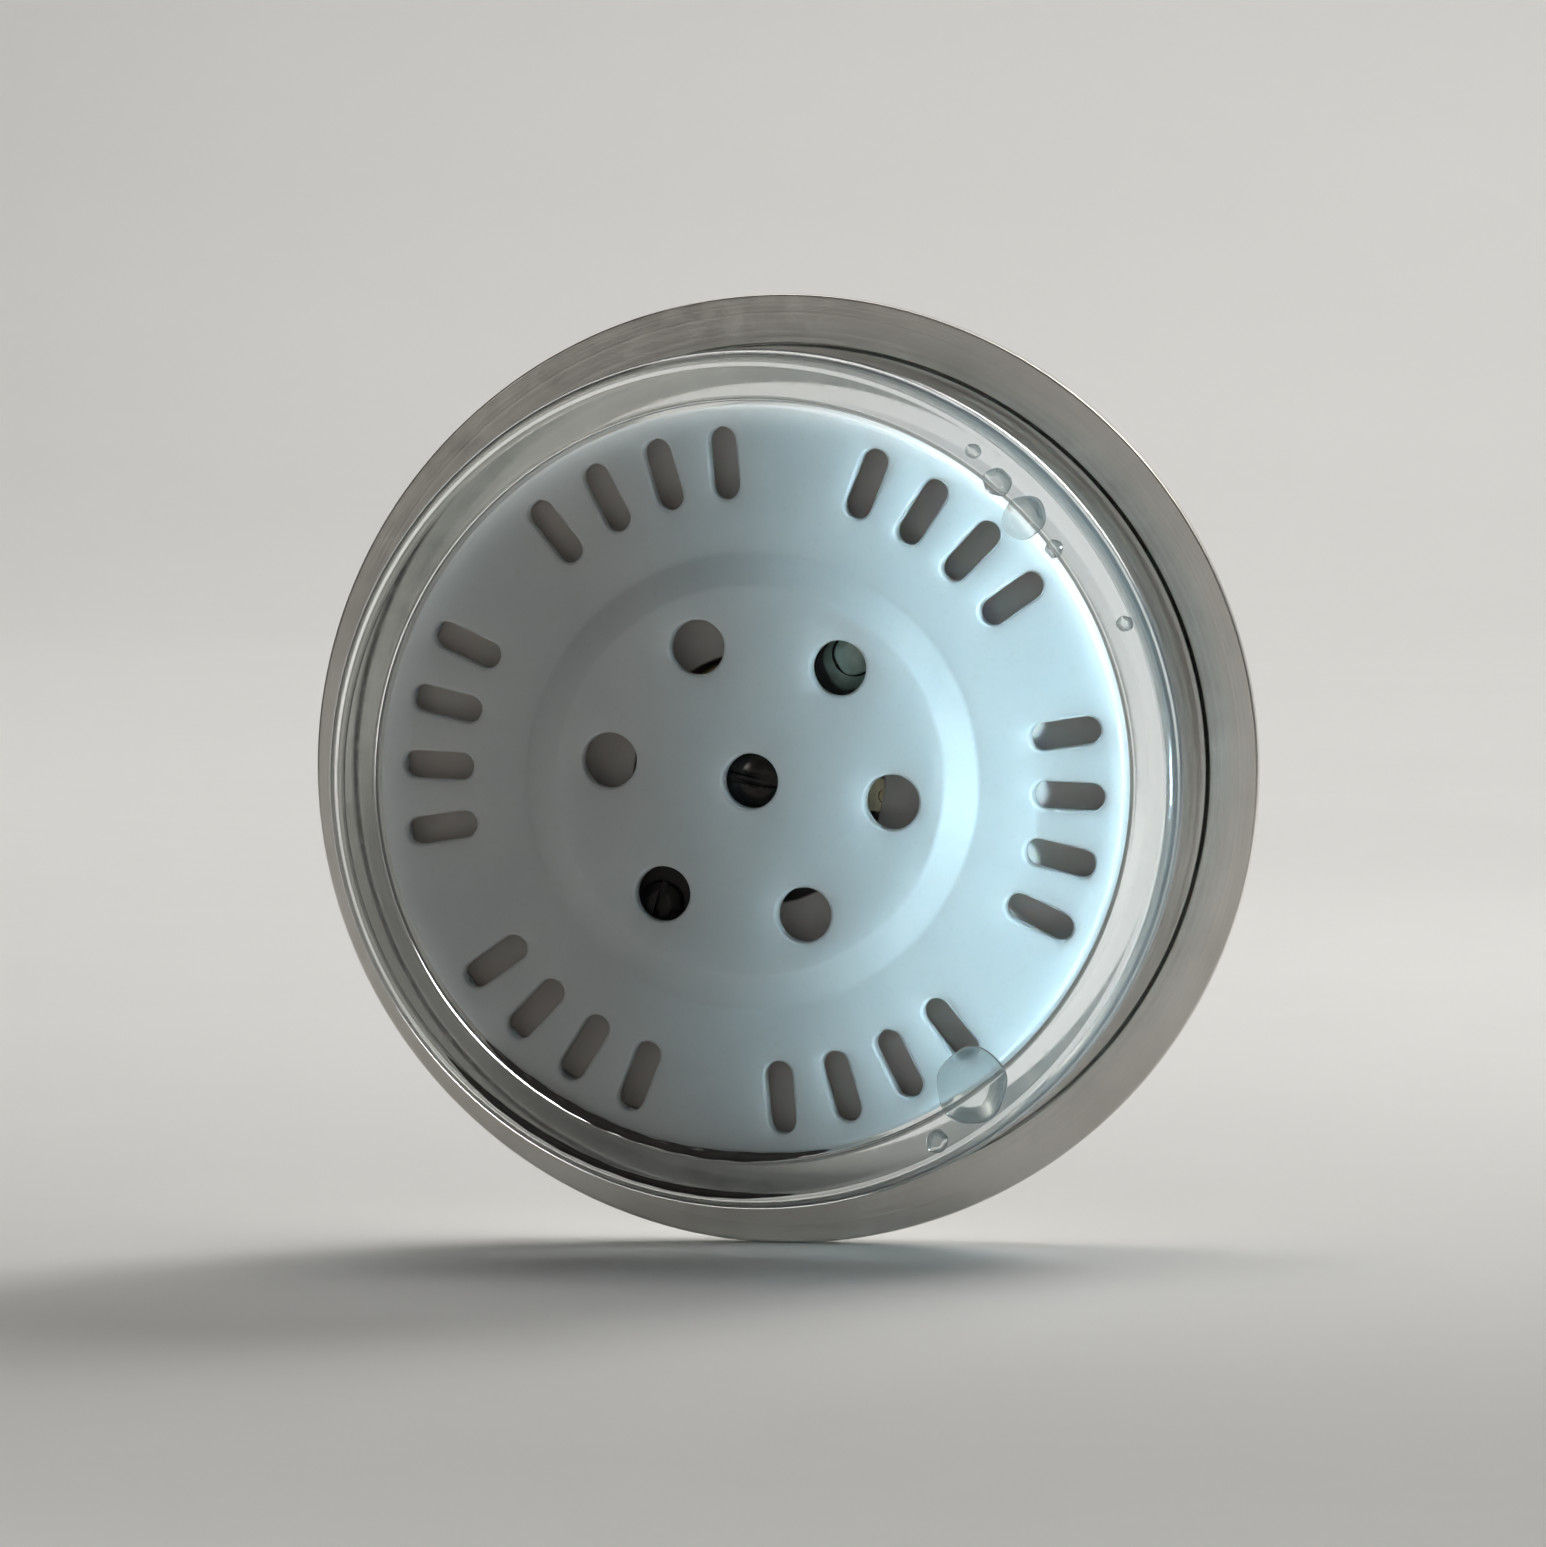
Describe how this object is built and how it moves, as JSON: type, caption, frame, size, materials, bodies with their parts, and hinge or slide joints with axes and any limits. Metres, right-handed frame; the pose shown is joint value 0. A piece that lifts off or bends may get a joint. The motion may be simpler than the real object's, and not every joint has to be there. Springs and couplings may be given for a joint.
{
  "type": "dial hygrometer",
  "caption": "Round press-in dial hygrometer: clear barrel, metal bezel flange, vented rear cover, humidity coil, pointer and rear calibration screw.",
  "frame": {"origin": "centre of the bezel flange's rear face, where the flange rests on the panel", "axes": "dial faces -Y, barrel runs towards +Y, 12 o'clock is +Z, +X is to the right of someone who reads the dial"},
  "size_m": [0.038, 0.0128, 0.038],
  "materials": {
    "clear_plastic": "clear moulded polystyrene, polished",
    "white_plastic": "satin moulded, translucent blue-grey white",
    "ivory_plastic": "satin moulded",
    "nickel_plate": "nickel plated, polished",
    "dull_aluminium": "stamped, dulled with age",
    "brass": "turned and stamped, dulled with age",
    "bronze": "rolled strip",
    "steel": "turned",
    "black_steel": "blackened",
    "moisture_film": "matte bonded film",
    "dial_white": "printed ivory face, bare rear",
    "black_paint": "satin black paint"
  },
  "bodies": {
    "case": {"clear_case": "clear_plastic", "bezel_ring": "nickel_plate", "spacer_ring": "ivory_plastic", "baffle_plate": "ivory_plastic", "rear_cover": "white_plastic", "cement_spot": "clear_plastic", "dial_plate": "dial_white", "dial_screw_left": "brass", "dial_screw_right": "brass", "stop_pin": "brass", "movement_plate": "dull_aluminium", "front_bearing": "brass", "pillar_upper": "brass", "pillar_lower": "brass", "bridge": "black_steel", "bridge_screw_upper": "black_steel", "bridge_screw_lower": "black_steel", "friction_washer": "steel"},
    "calibrator": {"calibration_screw": "black_steel", "rear_bearing": "brass", "coil_arm": "brass", "coil_stud": "brass", "coil_strip": "bronze", "moisture_film": "moisture_film"},
    "pointer_assembly": {"arbor": "steel", "coil_collet": "brass", "pointer": "black_paint", "pointer_hub": "brass", "pointer_cap": "nickel_plate"}
  },
  "joints": [
    {"name": "calibration_turn", "type": "hinge", "parent": "case", "child": "calibrator", "pos_m": [0, 0.0073, 0], "axis": [0, 1, 0], "range_deg": [-20, 20]},
    {"name": "pointer_turn", "type": "hinge", "parent": "calibrator", "child": "pointer_assembly", "pos_m": [0, 0.003, 0], "axis": [0, 1, 0], "range_deg": [-182, 78], "stiffness_Nm_per_rad": 0.00045, "deforming": ["coil_strip", "moisture_film"]}
  ]
}
